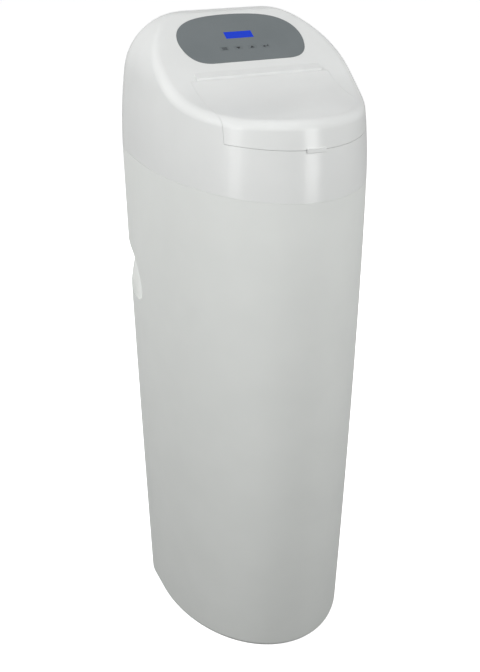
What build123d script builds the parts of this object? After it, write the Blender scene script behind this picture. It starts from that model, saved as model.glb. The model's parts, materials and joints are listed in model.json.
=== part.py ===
from build123d import *

import os
from math import atan2, cos, pi, radians, sin, sqrt, tan

# Cabinet water softener. Millimetres, +Z up, front faces -Y.
# The origin is on the floor, under the widest part of the cabinet.

# Cabinet body
half_width = 175.0
front_depth = 312.0
back_depth = 163.0
corner_radius = 102.0
seam_height = 853.0
side_draft = 11.0
front_draft = 72.0
back_draft = 25.0
draft_power = 1.42
cabinet_wall = 5.0
floor_thickness = 5.0
foot_rounding = 10.0
lip_height = 8.0
lip_thickness = 1.6
seam_groove = 0.5

# Top cover
crown_height = 83.0
cover_wall = 3.0
shoulder_rise = 132.0
cover_lean = 10.0
crown_inset = 75.0
rim_radius = 16.0
fit_gap = 0.4

# Sloping top of the cover
slope_angle = 27.6
slope_foot_y = -104.0
slope_foot_rise = 3.0
rim_front_drop = 16.0
dish_y = -235.0
dish_drop = 21.5

# Step above the salt lid, measured up the slope from the panel's lower edge
panel_foot_y = -65.2
step_front = -36.5
step_back = -18.0
step_rise = 2.8
step_half_width = 104.0

# Salt lid
lid_half_width = 114.0
lid_apron_drop = 59.0
lid_seam_gap = 0.5
lid_side_gap = 0.3
hinge_back = 12.0
hinge_pin_radius = 2.0
hinge_arm_width = 6.0
hinge_arm_inset = 20.0
hinge_eye_radius = 4.5
hinge_neck_drop = 16.0
tab_x = -5.0
tab_half_width = 15.0
tab_height = 3.6
tab_reach = 1.6

# Control panel
panel_half_width = 104.0
panel_rise = 118.0
panel_foot = 60.0
panel_side = [
    (0.68, 0.006),
    (0.83, 0.06),
    (0.93, 0.17),
    (0.98, 0.30),
    (1.0, 0.45),
    (0.98, 0.59),
    (0.92, 0.72),
    (0.80, 0.84),
    (0.63, 0.925),
    (0.42, 0.973),
    (0.20, 0.994),
]
panel_thickness = 1.5
panel_gap = 0.3
display_width = 46.4
display_height = 16.4
display_up = 65.0
button_pitch = 23.0
button_up = 33.0
button_width = 13.0
button_height = 8.0
button_travel = 0.5
board_drop = 13.0
board_width = 136.0
board_height = 62.0
board_thickness = 1.6
board_up = 49.0
switch_height = 4.0
screw_radius = 1.5

# Hand grips
grip_depth = 28.0
grip_half_length = 76.0
grip_half_height = 39.0
grip_inset = 4.0
grip_y = 81.0
grip_drop = 205.0
grip_tilt = 31.0
grip_turn = 5.0
grip_wall = 4.5

# Pipe opening in the back
opening_half_width = 86.0
opening_below = 31.0
opening_above = 36.0
opening_corner = 12.0

# Resin tank
tank_radius = 103.0
tank_headroom = 64.9
tank_wall = 3.2
tank_y = 24.0
tank_dome = 60.0
tank_foot_dome = 45.0
neck_radius = 46.0
neck_height = 16.0
neck_bore = 31.1
boot_wall = 4.0
boot_plate = 3.0
boot_height = 62.0
resin_top = 520.0
riser_radius = 13.3
riser_wall = 2.3
riser_foot = 36.0

# Valve, measured from the top of the tank
port_rise = 51.0
bore_rise = 79.0
port_spread = 38.0
port_radius = 17.0
port_bore = 12.5
port_length = 72.0
barrel_radius = 31.0
piston_bore = 20.0
barrel_front = 46.0
barrel_back = 44.0
bore_back = 38.0
stub_length = 18.0
cap_thickness = 8.0
boss_reach = 52.0
brine_boss_y = -24.0
drain_boss_y = -10.0

# Piston and drive
piston_radius = 15.0
piston_length = 50.0
piston_back = 34.0
piston_stroke = 26.0
rod_radius = 3.5
running_gap = 0.05
gear_module = 1.5
gear_teeth = 42
pinion_teeth = 17
gear_thickness = 8.0
gear_gap = 2.5
bracket_gap = 2.0
bracket_thickness = 3.0
pinion_bearing = 20.0
motor_radius = 18.5
motor_can_radius = 16.0
gearbox_length = 13.0
motor_can_length = 20.0
pinion_shaft_radius = 3.0

# Meter and bypass
meter_y = 47.0
meter_length = 26.0
turbine_radius = 11.2
turbine_length = 14.0
bypass_reach = 50.0
bypass_valve = 26.0
rotor_radius = 13.9
chamber_radius = 18.0
knob_height = 16.0
thread_radius = 16.6
thread_length = 24.0
adapter_length = 52.0
nut_radius = 22.5
nut_length = 20.0

# Brine well
well_side_room = 85.0
well_tank_room = 14.4
well_radius = 40.0
well_wall = 2.4
well_headroom = 58.0
brine_tube_radius = 4.75
brine_tube_bore = 3.2
pickup_x = -12.0
float_x = 13.0
float_radius = 16.0
float_length = 60.0
float_low = 380.0
float_rod_radius = 2.0
float_travel = 40.0
safety_headroom = 83.0
safety_length = 52.0

# Overflow
overflow_side_room = 115.0
overflow_drop = 153.0
overflow_radius = 9.0
spigot_radius = 6.35
spigot_length = 24.0

# Places that follow from the sizes above
shoulder_height = seam_height + shoulder_rise
total_height = shoulder_height + crown_height
slope_foot_z = shoulder_height + slope_foot_rise
rim_front_z = slope_foot_z - rim_front_drop
dish_z = slope_foot_z - dish_drop
lid_seam_z = slope_foot_z - lid_apron_drop
grip_z = seam_height - grip_drop
overflow_x = half_width - overflow_side_room
overflow_z = seam_height - overflow_drop
safety_top = seam_height - safety_headroom
well_height = seam_height - well_headroom
well_x = well_side_room - half_width
well_reach = tank_radius + boot_wall + well_radius + well_tank_room
well_y = tank_y - sqrt(well_reach**2 - well_x**2)
tank_bottom = floor_thickness + boot_plate + 0.1
tank_top = seam_height - tank_headroom
port_z = tank_top + port_rise
bore_z = tank_top + bore_rise
gear_radius = gear_module * gear_teeth / 2
pinion_radius = gear_module * pinion_teeth / 2
gear_distance = gear_radius + pinion_radius + 0.05
bore_front_y = tank_y - barrel_front
cap_front_y = bore_front_y - cap_thickness
gear_back_y = cap_front_y - gear_gap
gear_front_y = gear_back_y - gear_thickness
bracket_back_y = gear_front_y - bracket_gap
bracket_front_y = bracket_back_y - bracket_thickness
pinion_x = gear_distance * cos(radians(pinion_bearing))
pinion_z = bore_z + gear_distance * sin(radians(pinion_bearing))
port_end_y = tank_y + port_length
bypass_y = port_end_y + bypass_valve
bypass_end_y = port_end_y + bypass_reach
adapter_end_y = bypass_end_y + adapter_length
slope = radians(slope_angle)
panel_foot_z = slope_foot_z + (panel_foot_y - slope_foot_y) * tan(slope)
panel_plane = Plane(
    origin=(0, panel_foot_y, panel_foot_z),
    x_dir=(1, 0, 0),
    z_dir=(0, -sin(slope), cos(slope)),
)
step_y = panel_foot_y + step_front * cos(slope)
hinge_y = step_y - hinge_back
hinge_drop = cover_wall / cos(slope) + hinge_eye_radius + 1.0
hinge_swing = sqrt(hinge_back**2 + (hinge_drop + hinge_back * tan(slope)) ** 2) + 0.8


# Small helpers

def rod_along(direction, radius, start, length):
    """A cylinder from a point, along an axis direction."""
    plane = Plane(origin=start, z_dir=direction)
    return extrude(plane * Circle(radius), length)


def upright(radius, x, y, z_low, z_high):
    return rod_along((0, 0, 1), radius, (x, y, z_low), z_high - z_low)


def along_y(radius, x, z, y_low, y_high):
    return rod_along((0, 1, 0), radius, (x, y_low, z), y_high - y_low)


def along_x(radius, y, z, x_low, x_high):
    return rod_along((1, 0, 0), radius, (x_low, y, z), x_high - x_low)


def block(x_low, x_high, y_low, y_high, z_low, z_high):
    centre = ((x_low + x_high) / 2, (y_low + y_high) / 2, (z_low + z_high) / 2)
    return Pos(*centre) * Box(x_high - x_low, y_high - y_low, z_high - z_low)


def hexagon_y(across, bore, x, z, y_low, y_high):
    """A hexagonal nut whose hole runs along Y."""
    plane = Plane(origin=(x, y_low, z), z_dir=(0, 1, 0))
    return extrude(plane * (RegularPolygon(across, 6) - Circle(bore)), y_high - y_low)


def capsule(radius, z_low, z_high, foot, crown):
    """A turned vessel shape with an elliptical dome at each end."""
    lower = EllipticalCenterArc((0, z_low + foot), radius, foot, start_angle=270, arc_size=90)
    side = Line((radius, z_low + foot), (radius, z_high - crown))
    upper = EllipticalCenterArc((0, z_high - crown), radius, crown, start_angle=0, arc_size=90)
    spine = Line((0, z_high), (0, z_low))
    half = Plane.XZ * make_face([lower, side, upper, spine])
    return Pos(0, tank_y, 0) * revolve(half, Axis.Z)


# Cabinet and cover outlines

def outline(side, front, back, corner, z):
    """One level: half an ellipse in front, straight sides, round rear corners."""
    edges = [
        EllipticalCenterArc((0, 0), side, front, start_angle=180, arc_size=180),
        Line((side, 0), (side, back - corner)),
        RadiusArc((side, back - corner), (side - corner, back), -corner),
        Line((side - corner, back), (corner - side, back)),
        RadiusArc((corner - side, back), (-side, back - corner), -corner),
        Line((-side, back - corner), (-side, 0)),
    ]
    return Pos(0, 0, z) * make_face(edges)


def cabinet_level(z, wall=0.0):
    fall = max(0.0, 1 - z / seam_height) ** draft_power
    corner_draft = (side_draft + back_draft) / 2
    return outline(
        half_width - side_draft * fall - wall,
        front_depth - front_draft * fall - wall,
        back_depth - back_draft * fall - wall,
        corner_radius - corner_draft * fall - wall,
        z,
    )


def cabinet_side_at(z):
    return half_width - side_draft * max(0.0, 1 - z / seam_height) ** draft_power


def cabinet_back_at(z):
    return back_depth - back_draft * max(0.0, 1 - z / seam_height) ** draft_power


def cabinet_loft(z_start, wall):
    rise = seam_height - z_start
    return loft([cabinet_level(z_start + rise * i / 6, wall) for i in range(7)])


def cover_inset(z):
    """How far the cover has drawn in from the seam at a height."""
    lean = cover_lean * ((z - seam_height) / (shoulder_height - seam_height)) ** 2
    climb = max(0.0, (z - shoulder_height) / (total_height - shoulder_height))
    return lean + crown_inset * (1 - sqrt(max(0.0, 1 - climb * climb)))


def cover_level(z, wall=0.0):
    inset = cover_inset(z) + wall
    climb = max(0.0, (z - shoulder_height) / (total_height - shoulder_height))
    return outline(
        half_width - inset,
        front_depth - inset,
        back_depth - inset,
        corner_radius - 0.9 * inset,
        z - wall * climb,
    )


def cover_loft(z_start, wall):
    rise = shoulder_height - z_start
    wall_levels = [z_start + rise * i / 6 for i in range(7)]
    crown = total_height - shoulder_height
    crown_levels = [shoulder_height + crown * sin(radians(angle)) for angle in (18, 36, 54, 68, 80)]
    return loft([cover_level(z, wall) for z in wall_levels + crown_levels])


def slope_height(y):
    """Height of the straight part of the slope."""
    return slope_foot_z + (y - slope_foot_y) * tan(slope)


def slope_cut(drop):
    """What the sloping, dished top takes away from the cover."""
    past_front = -front_depth - 20
    past_top = 80.0
    sky = total_height + 60
    dish = Spline(
        [
            (past_front, rim_front_z - drop),
            (-285, rim_front_z - 2 - drop),
            (dish_y, dish_z - drop),
            (-185, dish_z + 2 - drop),
            (-140, slope_height(-140) + 6 - drop),
            (slope_foot_y, slope_foot_z - drop),
        ],
        tangents=[(1, -0.05), (cos(slope), sin(slope))],
    )
    ramp = Line((slope_foot_y, slope_foot_z - drop), (past_top, slope_height(past_top) - drop))
    rest = Polyline(
        (past_top, slope_height(past_top) - drop),
        (past_top, sky),
        (past_front, sky),
        (past_front, rim_front_z - drop),
    )
    side = Plane.YZ.offset(-half_width - 20) * make_face([dish, ramp, rest])
    return extrude(side, 2 * half_width + 40)


def cover_form(z_start, wall, rounding):
    """The cover as a full body: crown, slope and rounded rim."""
    drop = wall / cos(slope)
    body = cover_loft(z_start, wall) - slope_cut(drop)
    tops = [
        face
        for face in body.faces()
        if face.geom_type in (GeomType.PLANE, GeomType.EXTRUSION)
        and face.center().Z > dish_z - drop - 5
        and face.normal_at(face.center()).Z > 0.3
        and face.bounding_box().min.Y < 0
    ]
    edges = [edge for face in tops for edge in face.edges()]
    rim = [edge for edge in edges if sum(edge.is_same(other) for other in edges) == 1]
    return body.fillet(rounding, rim)


# Cabinet shell

def grip_scoop(side, extra):
    """The tilted finger hollow behind each side."""
    scoop = scale(
        Sphere(1),
        by=(grip_depth + extra, grip_half_length + extra, grip_half_height + extra),
    )
    place = Pos(side * (cabinet_side_at(grip_z) - grip_inset), grip_y, grip_z)
    return place * Rot(0, 0, side * grip_turn) * Rot(grip_tilt, 0, 0) * scoop


def pipe_opening(z_low, z_high):
    frame = Plane(origin=(0, 0, (z_low + z_high) / 2), x_dir=(1, 0, 0), z_dir=(0, -1, 0))
    shape = RectangleRounded(2 * opening_half_width, z_high - z_low, opening_corner)
    return extrude(frame * shape, -back_depth - 40)


def cabinet_shell():
    outer = cabinet_loft(0.0, 0.0)
    outer = outer.fillet(foot_rounding, outer.edges().group_by(Axis.Z)[0])
    inner = cabinet_loft(floor_thickness, cabinet_wall)
    inner += extrude(cabinet_level(seam_height, cabinet_wall), lip_height + 5)
    lip = extrude(cabinet_level(seam_height, cabinet_wall - lip_thickness), lip_height)
    for side in (-1, 1):
        outer -= grip_scoop(side, 0.0)
        inner -= grip_scoop(side, grip_wall)
    shell = outer + lip - inner
    groove = cabinet_level(seam_height, -1.0) - cabinet_level(seam_height, seam_groove)
    shell -= extrude(groove, -seam_groove)
    behind = block(-half_width, half_width, tank_y, back_depth + 20, 0, total_height)
    shell -= pipe_opening(port_z - opening_below, port_z + opening_above) & behind
    overflow = along_y(overflow_radius + fit_gap, overflow_x, overflow_z, tank_y, back_depth + 20)
    return shell - (overflow - upright(tank_radius + 20, 0, tank_y, 0, seam_height))


# Cover, lid and hinge

def lid_region(side_gap, seam_gap, back_gap):
    """The part of the cover that lifts as the salt lid."""
    side = lid_half_width - side_gap
    return block(
        -side, side, -front_depth - 10, step_y - back_gap, lid_seam_z + seam_gap, total_height
    )


def surface_height(y):
    """Height of the dished top at the middle, read off the cutting body."""
    probe = slope_cut(0.0) & block(-1, 1, y - 0.01, y + 0.01, dish_z - 30, total_height)
    return probe.bounding_box().min.Z


hinge_z = surface_height(hinge_y) - hinge_drop


def hinge_arm(side):
    """A gooseneck that hangs under the step and holds one hinge pin."""
    x_mid = side * (lid_half_width - hinge_arm_inset)
    x_low = x_mid - hinge_arm_width / 2
    x_high = x_mid + hinge_arm_width / 2
    root_y = hinge_y + hinge_swing + 5.5
    foot_z = hinge_z - hinge_neck_drop
    arm = along_x(hinge_eye_radius, hinge_y, hinge_z, x_low, x_high)
    arm += block(x_low, x_high, hinge_y - 4, hinge_y + 2, foot_z, hinge_z)
    arm += block(x_low, x_high, hinge_y - 4, root_y, foot_z - 4, foot_z)
    arm += block(x_low, x_high, root_y - 5, root_y, foot_z - 4, slope_height(root_y) - 1)
    pin_hole = along_x(hinge_pin_radius + running_gap, hinge_y, hinge_z, x_low - 1, x_high + 1)
    return arm - pin_hole


def step_ridge():
    """The low ridge across the slope, over the lid's back edge."""
    side = Plane(origin=(-step_half_width, 0, 0), x_dir=(0, 1, 0), z_dir=(1, 0, 0))
    foot = (step_y, slope_height(step_y))
    back = panel_foot_y + step_back * cos(slope)
    normal = (-sin(slope), cos(slope))
    face = Polyline(
        (foot[0], foot[1] - 1.5),
        (foot[0] + 0.4, foot[1]),
        (foot[0] + step_rise * normal[0] + 2.6, foot[1] + step_rise * normal[1] + 1.0),
        (back, slope_height(back)),
        (back, slope_height(back) - 1.5),
        close=True,
    )
    ridge = extrude(side * make_face(face), 2 * step_half_width)
    return ridge


def panel_outline(gap=0.0):
    """The control panel: straight lower edge, round corners and an arched top."""
    wide = panel_half_width + gap
    rise = panel_rise + 2 * gap
    right = [(panel_foot, -gap)]
    right += [(wide * x, rise * y - gap) for x, y in panel_side]
    left = [(-x, y) for x, y in reversed(right)]
    crown = Spline(right + [(0, rise - gap)] + left)
    return make_face([Line(left[-1], right[0]), crown])


def on_panel(shape, depth):
    """Sinks a flat shape below the slope by a depth."""
    return panel_plane.offset(-depth) * shape


def button_places():
    return [(button_pitch * (i - 1.5), button_up) for i in range(4)]


def board_screw_places():
    across = board_width / 2 - 6
    up = board_height / 2 - 6
    return [(i * across, board_up + j * up) for i in (-1, 1) for j in (-1, 1)]


def hollow_cover():
    """The cover's skin, with a narrow seat inside that rests on the cabinet's lip."""
    seat_low = seam_height + lip_height
    seat_high = seat_low + 3
    skin = cover_form(seam_height, 0.0, rim_radius)
    skin -= cover_form(seat_high, cover_wall, rim_radius - cover_wall)
    skin -= extrude(Pos(0, 0, -1) * cover_level(seat_low, 6.4), 5)
    return skin - extrude(Pos(0, 0, -1) * cover_level(seam_height, cover_wall - 0.2), lip_height + 1)


cover_skin = hollow_cover()


def top_cover():
    extras = [step_ridge()]
    holes = []
    post_length = board_drop - panel_thickness - 1.0
    for x, up in board_screw_places():
        spot = Pos(x, up)
        extras.append(extrude(on_panel(spot * Circle(3.6), panel_thickness + 1.0), -post_length))
        holes.append(extrude(on_panel(spot * Circle(screw_radius), panel_thickness + 1.5), -20))
    sweep = along_x(hinge_swing, hinge_y, hinge_z, -lid_half_width, lid_half_width)
    below = block(-half_width, half_width, hinge_y - 40, hinge_y + 40, 0, slope_height(step_y) - 0.4)
    window = Pos(0, display_up) * Rectangle(display_width + 3, display_height + 3)
    holes.append(extrude(on_panel(panel_outline(panel_gap), panel_thickness), 20))
    holes.append(extrude(on_panel(window, 0), -10))
    for x, up in button_places():
        holes.append(extrude(on_panel(Pos(x, up) * Circle(2.6), 0), -10))
    low, high = port_z - opening_below, port_z + opening_above
    behind = block(-half_width, half_width, tank_y, back_depth + 20, seam_height - 60, total_height)
    holes.append(pipe_opening(low, high) & behind)
    shell = cover_skin + extras - lid_region(0.0, 0.0, 0.0) - (sweep & below)
    return shell + [hinge_arm(-1), hinge_arm(1)] - holes


def salt_lid():
    lid = cover_skin & lid_region(lid_side_gap, lid_seam_gap, 0.5)
    lid = max(lid.solids(), key=lambda solid: solid.volume)
    eye_x = lid_half_width - hinge_arm_inset + hinge_arm_width / 2 + fit_gap
    for side in (-1, 1):
        x_low, x_high = sorted((side * eye_x, side * (eye_x + 5)))
        ear = along_x(hinge_eye_radius, hinge_y, hinge_z, x_low, x_high)
        ear += block(x_low, x_high, hinge_y - 4.5, hinge_y, hinge_z, hinge_z + hinge_drop - 2.8)
        ear -= along_x(hinge_pin_radius, hinge_y, hinge_z, x_low - 1, x_high + 1)
        lid += ear
    tab_y = -front_depth + cover_inset(lid_seam_z)
    tab_left = tab_x - tab_half_width
    tab_right = tab_x + tab_half_width
    tab = block(
        tab_left, tab_right, tab_y - tab_reach, tab_y - 0.6,
        lid_seam_z - tab_height, lid_seam_z + lid_seam_gap + 2,
    )
    tab = tab.fillet(0.7, tab.edges().group_by(Axis.Y)[0])
    bridge = block(
        tab_left + 1.5, tab_right - 1.5, tab_y - 0.8, tab_y + 2,
        lid_seam_z + lid_seam_gap, lid_seam_z + lid_seam_gap + 2,
    )
    return lid + tab + bridge


def hinge_pins():
    x_low = lid_half_width - hinge_arm_inset - hinge_arm_width / 2 - 1
    length = hinge_arm_width + fit_gap + 6
    pins = [
        along_x(hinge_pin_radius, hinge_y, hinge_z, *sorted((side * x_low, side * (x_low + length))))
        for side in (-1, 1)
    ]
    return Compound(pins)


# Control panel

def control_panel():
    sheet = panel_outline()
    sheet -= Pos(0, display_up) * Rectangle(display_width + 0.2, display_height + 0.2)
    for x, up in button_places():
        sheet -= Pos(x, up) * RectangleRounded(button_width + 0.6, button_height + 0.6, 2.3)
    return extrude(on_panel(sheet, panel_thickness), panel_thickness)


def display_window():
    return extrude(
        on_panel(Pos(0, display_up) * Rectangle(display_width, display_height), panel_thickness),
        panel_thickness,
    )


def display_module():
    """The lit display block, seated on the board."""
    block_height = board_drop - panel_thickness - 0.2
    glass = Rectangle(display_width + 2, display_height + 2)
    frame = Rectangle(display_width + 14, display_height + 12)
    low = on_panel(Pos(0, display_up) * frame, board_drop)
    high = on_panel(Pos(0, display_up) * glass, board_drop)
    return extrude(low, block_height - 5) + extrude(high, block_height)


def control_board():
    board = extrude(on_panel(Pos(0, board_up) * Rectangle(board_width, board_height), board_drop), -board_thickness)
    for x, up in button_places():
        board += extrude(on_panel(Pos(x, up) * RectangleRounded(6.2, 6.2, 0.5), board_drop), switch_height)
    board += extrude(on_panel(Pos(-52, 52) * Rectangle(18, 14), board_drop + board_thickness), -9)
    board += extrude(on_panel(Pos(-20, 40) * Rectangle(26, 10), board_drop + board_thickness), -7)
    board += extrude(on_panel(Pos(34, 44) * Rectangle(14, 14), board_drop + board_thickness), -2.2)
    for x in (-6, 6):
        board += extrude(on_panel(Pos(x + 8, 66) * Circle(4), board_drop + board_thickness), -11)
    for x, up in board_screw_places():
        board -= extrude(on_panel(Pos(x, up) * Circle(screw_radius + 0.2), board_drop - 1), -5)
    return board


def board_screws():
    screws = []
    under = board_drop + board_thickness
    for x, up in board_screw_places():
        head = extrude(on_panel(Pos(x, up) * Circle(2.9), under), -2)
        slot = extrude(on_panel(Pos(x, up) * Rectangle(3.6, 0.8), under + 1.2), -2)
        shank = extrude(on_panel(Pos(x, up) * Circle(screw_radius - 0.05), under), board_thickness + 6)
        screws.append(head + shank - slot)
    return Compound(screws)


def button(index):
    x, up = button_places()[index]
    cap = extrude(on_panel(Pos(x, up) * RectangleRounded(button_width, button_height, 2.0), 0.9), 0.9)
    stem_length = board_drop - switch_height - button_travel - 0.15
    stem = extrude(on_panel(Pos(x, up) * Circle(1.9), 0.5), -(stem_length - 0.5))
    return cap + stem


# Resin tank

def resin_tank():
    outer = capsule(tank_radius, tank_bottom, tank_top - 4, tank_foot_dome, tank_dome)
    outer += upright(neck_radius, 0, tank_y, tank_top - neck_height, tank_top)
    inner = capsule(
        tank_radius - tank_wall, tank_bottom + tank_wall, tank_top - 4 - tank_wall,
        tank_foot_dome - 1, tank_dome - 1,
    )
    bore = upright(neck_bore, 0, tank_y, tank_top - 60, tank_top + 1)
    return outer - inner - bore


def tank_boot():
    low = floor_thickness
    boot = upright(tank_radius + boot_wall, 0, tank_y, low, low + boot_height)
    boot = boot.fillet(3, boot.edges().group_by(Axis.Z)[-1])
    boot -= upright(tank_radius + 0.1, 0, tank_y, low + boot_plate, low + boot_height + 1)
    for i in range(6):
        angle = radians(60 * i)
        x, y = 70 * cos(angle), tank_y + 70 * sin(angle)
        boot -= upright(9, x, y, low - 1, low + boot_plate + 1)
    return boot


def resin_bed():
    gap = tank_wall + 0.2
    bed = capsule(
        tank_radius - gap, tank_bottom + gap, tank_top - 4 - gap, tank_foot_dome - 1, tank_dome - 1
    )
    bed &= block(-tank_radius, tank_radius, tank_y - tank_radius, tank_y + tank_radius, 0, resin_top)
    bed -= upright(riser_radius + 0.1, 0, tank_y, 0, resin_top + 1)
    return bed - upright(24.2, 0, tank_y, 0, riser_foot + 76)


def riser_tube():
    low = riser_foot + 40
    tube = upright(riser_radius, 0, tank_y, low, tank_top + 30)
    return tube - upright(riser_radius - riser_wall, 0, tank_y, low - 1, tank_top + 31)


def bottom_strainer():
    """A slotted basket on the riser's foot."""
    low, high = riser_foot - 20, riser_foot + 74
    basket = upright(24, 0, tank_y, low, high)
    basket -= upright(riser_radius + 0.1, 0, tank_y, riser_foot + 40, high + 1)
    basket -= upright(riser_radius - riser_wall, 0, tank_y, low + 4, high)
    slot_count = 9
    for i in range(slot_count):
        z = low + 10 + i * 7
        basket -= upright(25, 0, tank_y, z, z + 1.2) - upright(20, 0, tank_y, z - 1, z + 3)
    return basket


def top_strainer():
    high = tank_top - stub_length - 0.2
    cone = Pos(0, tank_y, high - 30) * Cone(18, 29, 60)
    cone -= upright(riser_radius + 0.2, 0, tank_y, high - 70, high + 1)
    hollow = Pos(0, tank_y, high - 28) * Cone(15.6, 26.6, 60)
    cone -= hollow & block(-30, 30, tank_y - 30, tank_y + 30, high - 56, high + 1)
    return cone


# Valve

def bracket_angles():
    return [60, 150, 240, 330]


def bracket_point(angle):
    reach = gear_radius + 9.0
    return reach * cos(radians(angle)), bore_z + reach * sin(radians(angle))


def radial_arm(angle, y, thickness):
    """A bar from the barrel out to one of the drive bracket's screws."""
    turn = radians(angle)
    plane = Plane(origin=(0, y, bore_z), x_dir=(cos(turn), 0, sin(turn)), z_dir=(0, 1, 0))
    return extrude(plane * Pos(34, 0) * Rectangle(14, 9), thickness)


def valve_body():
    barrel_top = bore_z + barrel_radius
    body = upright(neck_bore - 0.1, 0, tank_y, tank_top - stub_length, tank_top + 1)
    body += upright(41, 0, tank_y, tank_top, tank_top + 9)
    body += upright(33, 0, tank_y, tank_top + 8, bore_z)
    body += along_y(barrel_radius, 0, bore_z, bore_front_y, tank_y + barrel_back)
    body += block(-port_spread, port_spread, tank_y - 16, tank_y + 24, port_z - 13, port_z + 13)
    body += upright(14, 0, tank_y + 22, bore_z, barrel_top + 7)
    for side in (-1, 1):
        x = side * port_spread
        body += along_y(port_radius, x, port_z, tank_y - 22, port_end_y)
        body += along_y(port_radius + 2.2, x, port_z, port_end_y - 5, port_end_y)
    body += along_x(15, tank_y + brine_boss_y, bore_z, -boss_reach, 0)
    body += along_x(12, tank_y + drain_boss_y, bore_z, 0, boss_reach)
    body -= along_y(piston_bore, 0, bore_z, bore_front_y - 1, tank_y + bore_back)
    body -= upright(riser_radius + 0.1, 0, tank_y, tank_top - stub_length - 1, tank_top + 30)
    body -= upright(9, 0, tank_y, tank_top + 28, bore_z)
    for i in range(4):
        angle = radians(45 + 90 * i)
        x, y = 22 * cos(angle), tank_y + 22 * sin(angle)
        body -= upright(4.5, x, y, tank_top - stub_length - 1, tank_top + 26)
    for side in (-1, 1):
        x = side * port_spread
        body -= along_y(port_bore, x, port_z, tank_y - 4, port_end_y + 1)
        body -= block(*sorted((side * 14, x)), tank_y, tank_y + 14, port_z - 4, port_z + 9)
    body -= along_x(5, tank_y + brine_boss_y, bore_z, -boss_reach - 1, -piston_bore + 4)
    body -= along_x(6, tank_y + drain_boss_y, bore_z, piston_bore - 4, boss_reach + 1)
    body -= upright(9, 0, tank_y + 22, bore_z, barrel_top + 8)
    for angle in bracket_angles():
        x, z = bracket_point(angle)
        body += radial_arm(angle, bore_front_y, 7) + along_y(6, x, z, bore_front_y, bore_front_y + 7)
        body -= along_y(screw_radius + 0.1, x, z, bore_front_y - 1, bore_front_y + 6)
    return body - along_y(piston_bore, 0, bore_z, bore_front_y - 1, tank_y + bore_back)


def seal_stack():
    low, high = bore_front_y + 0.5, tank_y + bore_back - 0.3
    stack = along_y(piston_bore - 0.1, 0, bore_z, low, high)
    stack -= along_y(piston_radius + 0.3, 0, bore_z, low - 1, high + 1)
    row_count = 5
    pitch = (high - low) / row_count
    for i in range(row_count):
        y = low + pitch * (i + 0.5)
        stack -= block(-25, 25, y - 4, y + 4, bore_z - 6, bore_z + 6)
        stack -= block(-6, 6, y - 4, y + 4, bore_z - 25, bore_z + 25)
    return stack


def drive_cap():
    cap = along_y(barrel_radius, 0, bore_z, cap_front_y, bore_front_y)
    cap += along_y(10 - running_gap, 0, bore_z, gear_back_y - 4, cap_front_y + 1)
    for angle in bracket_angles():
        x, z = bracket_point(angle)
        cap += radial_arm(angle, cap_front_y, cap_thickness)
        cap += along_y(6, x, z, cap_front_y, bore_front_y)
        cap -= along_y(screw_radius + 0.1, x, z, cap_front_y - 1, bore_front_y + 1)
    return cap - along_y(rod_radius + running_gap, 0, bore_z, gear_back_y - 5, bore_front_y + 1)


def piston():
    back = tank_y + piston_back
    front = back - piston_length
    body = along_y(piston_radius, 0, bore_z, front, back)
    waist = along_y(piston_radius + 1, 0, bore_z, front + 16, front + 32)
    body -= waist - along_y(10.5, 0, bore_z, front, back)
    body -= along_y(8, 0, bore_z, front + 20, back + 1)
    return body - along_y(rod_radius, 0, bore_z, front - 1, front + 10)


def piston_rod():
    front = tank_y + piston_back - piston_length
    rod = along_y(rod_radius, 0, bore_z, bracket_front_y - 4, front + 10)
    return rod.chamfer(0.8, None, rod.edges().group_by(Axis.Y)[0])


def tooth_points(teeth, radius, angle):
    """One involute tooth: its feet and three points on each flank."""
    base = radius * cos(radians(20))
    tip = radius + 0.88 * gear_module
    root = radius - 1.2 * gear_module
    half_tooth = pi / (2 * teeth) - 0.09 / radius
    pitch_roll = sqrt((radius / base) ** 2 - 1)
    pitch_turn = pitch_roll - atan2(pitch_roll, 1)
    start = max(base, root + 0.1 * gear_module)
    flank = []
    for r in (start, (start + tip) / 2, tip):
        roll = sqrt(max(0.0, (r / base) ** 2 - 1))
        turn = half_tooth + pitch_turn - (roll - atan2(roll, 1))
        flank.append((r, turn))
    left = [(r * cos(angle - t), r * sin(angle - t)) for r, t in flank]
    right = [(r * cos(angle + t), r * sin(angle + t)) for r, t in reversed(flank)]
    first, last = angle - flank[0][1], angle + flank[0][1]
    roots = ((root * cos(first), root * sin(first)), (root * cos(last), root * sin(last)))
    return roots[0], left, right, roots[1]


def gear_face(teeth, phase):
    radius = gear_module * teeth / 2
    edges = []
    previous = None
    first = None
    for i in range(teeth):
        foot, left, right, heel = tooth_points(teeth, radius, phase + 2 * pi * i / teeth)
        if previous is not None:
            edges.append(Line(previous, foot))
        else:
            first = foot
        edges.append(Line(foot, left[0]))
        edges.append(ThreePointArc(*left))
        edges.append(Line(left[-1], right[0]))
        edges.append(ThreePointArc(*right))
        edges.append(Line(right[-1], heel))
        previous = heel
    edges.append(Line(previous, first))
    return make_face(edges)


def drive_gear():
    """The large gear, whose threaded hub moves the piston rod."""
    plane = Plane(origin=(0, gear_back_y, bore_z), x_dir=(1, 0, 0), z_dir=(0, -1, 0))
    bearing = radians(pinion_bearing)
    gear = extrude(plane * gear_face(gear_teeth, bearing), gear_thickness)
    gear += along_y(8 - running_gap, 0, bore_z, bracket_front_y + 0.2, gear_front_y + 1)
    gear -= along_y(10, 0, bore_z, gear_back_y - 4.6, gear_back_y + 1)
    for i in range(6):
        angle = radians(60 * i)
        x, z = 20.5 * cos(angle), bore_z + 20.5 * sin(angle)
        gear -= along_y(6, x, z, gear_front_y - 1, gear_back_y + 1)
    return gear - along_y(rod_radius + running_gap, 0, bore_z, bracket_front_y, gear_back_y + 1)


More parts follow.
